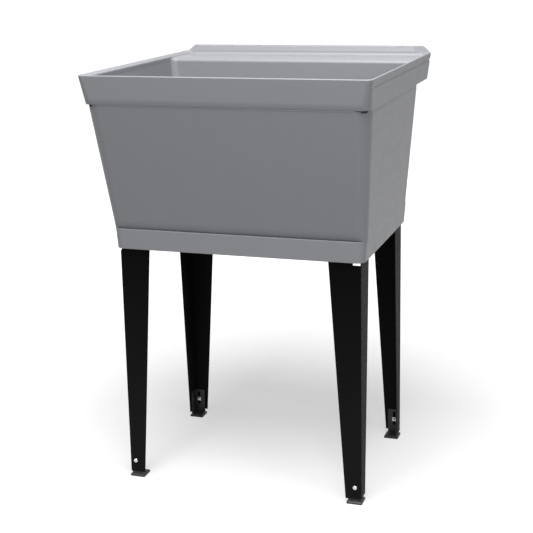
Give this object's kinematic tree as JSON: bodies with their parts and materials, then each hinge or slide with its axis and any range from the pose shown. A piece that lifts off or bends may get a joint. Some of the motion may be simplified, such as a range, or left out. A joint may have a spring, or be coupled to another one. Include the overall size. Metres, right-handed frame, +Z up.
{
  "type": "utility laundry sink",
  "caption": "Freestanding moulded utility sink: deep tapered bowl, apron rim, rear faucet deck and low backsplash on tapered steel angle legs with levelling feet.",
  "frame": {"origin": "on the floor under the middle of the sink's outer box", "axes": "+Z up, front edge of the rim towards -Y, backsplash towards +Y, +X to the right seen from the front"},
  "size_m": [0.581, 0.573, 0.87],
  "materials": {
    "tub_plastic": "moulded plastic, fine satin, mid grey",
    "leg_steel": "black powder coat",
    "foot_plastic": "black moulded plastic",
    "zinc": "bright zinc plate",
    "stainless": "brushed stainless steel",
    "rubber": "black rubber",
    "white_plastic": "white moulded plastic"
  },
  "bodies": {
    "sink": {"tub": "tub_plastic", "leg_front_left": "leg_steel", "leg_front_right": "leg_steel", "leg_rear_right": "leg_steel", "leg_rear_left": "leg_steel", "foot_bolt_front_left": "zinc", "foot_bolt_front_right": "zinc", "foot_bolt_rear_right": "zinc", "foot_bolt_rear_left": "zinc", "foot_nut_front_left": "zinc", "foot_nut_front_right": "zinc", "foot_nut_rear_right": "zinc", "foot_nut_rear_left": "zinc", "drain_strainer": "stainless", "drain_gasket": "rubber", "drain_washer": "white_plastic", "drain_locknut": "white_plastic", "tailpiece_washer": "rubber", "tailpiece": "white_plastic", "tailpiece_nut": "white_plastic"},
    "foot_front_left": {"foot_front_left": "foot_plastic"},
    "foot_front_right": {"foot_front_right": "foot_plastic"},
    "foot_rear_right": {"foot_rear_right": "foot_plastic"},
    "foot_rear_left": {"foot_rear_left": "foot_plastic"},
    "stopper": {"drain_stopper": "rubber"},
    "pull_ring": {"stopper_ring": "stainless"}
  },
  "joints": [
    {"name": "foot_front_left_level", "type": "slide", "parent": "sink", "child": "foot_front_left", "axis": [0, 0, -1], "range_m": [-0.005, 0.016]},
    {"name": "foot_front_right_level", "type": "slide", "parent": "sink", "child": "foot_front_right", "axis": [0, 0, -1], "range_m": [-0.005, 0.016]},
    {"name": "foot_rear_right_level", "type": "slide", "parent": "sink", "child": "foot_rear_right", "axis": [0, 0, -1], "range_m": [-0.005, 0.016]},
    {"name": "foot_rear_left_level", "type": "slide", "parent": "sink", "child": "foot_rear_left", "axis": [0, 0, -1], "range_m": [-0.005, 0.016]},
    {"name": "stopper_lift", "type": "slide", "parent": "sink", "child": "stopper", "axis": [0, 0, 1], "range_m": [0, 0.36]},
    {"name": "pull_ring_swing", "type": "hinge", "parent": "stopper", "child": "pull_ring", "pos_m": [0, -0.0285, 0.5476], "axis": [0, -1, 0], "range_deg": [0, 160]}
  ]
}
